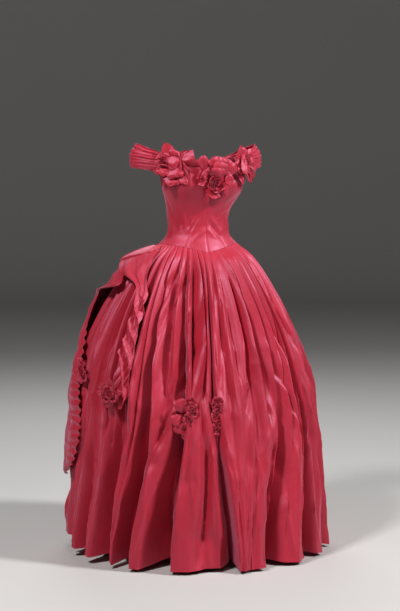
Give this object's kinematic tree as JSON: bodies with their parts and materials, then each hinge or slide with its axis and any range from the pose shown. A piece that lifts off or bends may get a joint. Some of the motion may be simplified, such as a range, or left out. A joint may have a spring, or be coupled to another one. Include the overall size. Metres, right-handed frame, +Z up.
{
  "type": "evening gown",
  "caption": "Off-the-shoulder silk taffeta ball gown with a pointed basque bodice, cloth roses, a full gathered skirt and a hip drape, held in its worn shape.",
  "frame": {"origin": "middle of the natural waist, where a figure holds the gown", "axes": "+Z up the figure, -Y out of the front, +X towards the wearer's left side"},
  "size_m": [0.9244, 0.9741, 1.4275],
  "materials": {
    "taffeta": "satin"
  },
  "bodies": {
    "root": {"bodice_back_centre_left": "taffeta", "bodice_back_centre_right": "taffeta", "bodice_back_side_left": "taffeta", "bodice_back_side_right": "taffeta", "bodice_front_centre_left": "taffeta", "bodice_front_centre_right": "taffeta", "bodice_front_side_left": "taffeta", "bodice_front_side_right": "taffeta", "drape_back": "taffeta", "drape_front": "taffeta", "neck_band_back": "taffeta", "neck_band_front": "taffeta", "rose_neck_centre": "taffeta", "rose_neck_left": "taffeta", "rose_neck_right": "taffeta", "rose_skirt_centre": "taffeta", "rose_skirt_front": "taffeta", "rose_skirt_hip": "taffeta", "rose_skirt_side": "taffeta", "skirt_back_left": "taffeta", "skirt_back_right": "taffeta", "skirt_front": "taffeta", "skirt_side_left": "taffeta", "skirt_side_right": "taffeta", "sleeve_left": "taffeta", "sleeve_right": "taffeta"}
  },
  "joints": []
}
